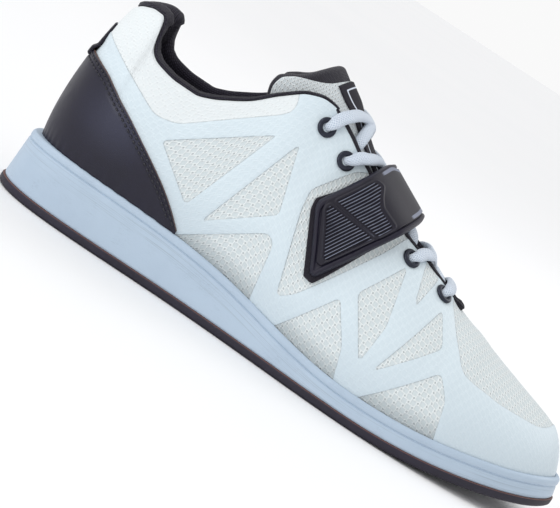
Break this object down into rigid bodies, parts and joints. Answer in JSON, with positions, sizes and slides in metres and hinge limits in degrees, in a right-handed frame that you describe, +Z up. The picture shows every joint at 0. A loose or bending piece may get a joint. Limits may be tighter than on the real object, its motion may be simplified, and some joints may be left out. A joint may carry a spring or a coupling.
{
  "type": "weightlifting shoe",
  "caption": "Right weightlifting shoe: raised-heel sole, hollow mesh and film upper, black heel counter, five eyelet pairs with laces, and a wide strap over the instep.",
  "frame": {"origin": "bottom centre of the shoe's box, on the ground under the sole", "axes": "+X towards the toe, +Y towards the medial side of the right foot, +Z up"},
  "size_m": [0.3, 0.0974, 0.1326],
  "materials": {
    "upper_film": "thin satin film over open mesh, pale blue white",
    "midsole_foam": "matt moulded foam, pale blue grey",
    "outsole_rubber": "matt black rubber",
    "counter_leather": "smooth black coated leather",
    "black_cloth": "black knitted lining and binding",
    "tongue_mesh": "padded off-white mesh",
    "lace_cloth": "braided oval lace, pale blue white",
    "strap_black": "smooth black synthetic band",
    "overlay_rubber": "moulded black plate with fine ribs",
    "eyelet_metal": "dark painted metal ring"
  },
  "bodies": {
    "root": {"outsole": "outsole_rubber", "midsole": "midsole_foam", "insole": "black_cloth", "upper": "upper_film", "heel_counter": "counter_leather", "heel_tab": "black_cloth", "collar_lining": "black_cloth", "tongue": "tongue_mesh", "tongue_label": "black_cloth", "strap_base": "black_cloth", "strap": "strap_black", "strap_overlay": "overlay_rubber", "eyelet_lateral_1": "eyelet_metal", "eyelet_lateral_2": "eyelet_metal", "eyelet_lateral_3": "eyelet_metal", "eyelet_lateral_4": "eyelet_metal", "eyelet_lateral_5": "eyelet_metal", "eyelet_medial_1": "eyelet_metal", "eyelet_medial_2": "eyelet_metal", "eyelet_medial_3": "eyelet_metal", "eyelet_medial_4": "eyelet_metal", "eyelet_medial_5": "eyelet_metal", "lace_crossing_1": "lace_cloth", "lace_crossing_2": "lace_cloth", "lace_crossing_3": "lace_cloth", "lace_crossing_4": "lace_cloth", "lace_bar": "lace_cloth"}
  },
  "joints": []
}
